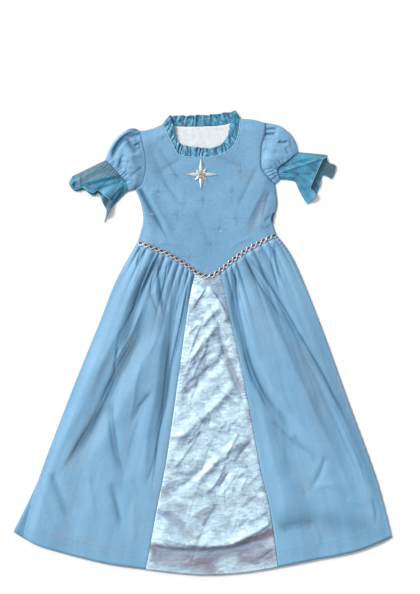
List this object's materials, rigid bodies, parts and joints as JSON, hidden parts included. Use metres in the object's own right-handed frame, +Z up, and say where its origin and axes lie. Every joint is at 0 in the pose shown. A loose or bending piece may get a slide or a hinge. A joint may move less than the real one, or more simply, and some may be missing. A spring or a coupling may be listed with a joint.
{
  "type": "princess costume dress",
  "caption": "Child's princess costume dress laid flat: puff sleeves with sheer flounces, pointed waist with braid, satin front panel and a star on the chest.",
  "frame": {"origin": "on the floor under the middle of the dress, which lies flat on its back", "axes": "+Z up through the front of the dress, +Y from the hem towards the neck, +X to the right as seen from above"},
  "size_m": [0.832, 1.02, 0.0195],
  "materials": {
    "blue_cloth": "soft satin-back cloth, slightly lustrous",
    "blue_print": "the same cloth with a faint silver print of starbursts and dots",
    "pale_satin": "glossy iridescent satin, creased",
    "organza": "sheer crisp organza",
    "silver_braid": "metallic thread, plaited",
    "silver_cloth": "metallic foil cloth",
    "glitter": "grey-gold glitter"
  },
  "bodies": {
    "root": {"back_bodice": "blue_cloth", "back_skirt": "blue_cloth", "front_bodice": "blue_print", "skirt_front_left": "blue_cloth", "skirt_front_right": "blue_cloth", "skirt_centre_panel": "pale_satin", "sleeve_left": "blue_print", "sleeve_right": "blue_print", "cuff_left": "organza", "cuff_right": "organza", "neck_frill_front": "organza", "neck_frill_back": "organza", "waist_braid": "silver_braid", "star_applique": "silver_cloth", "star_centre": "glitter"}
  },
  "joints": []
}
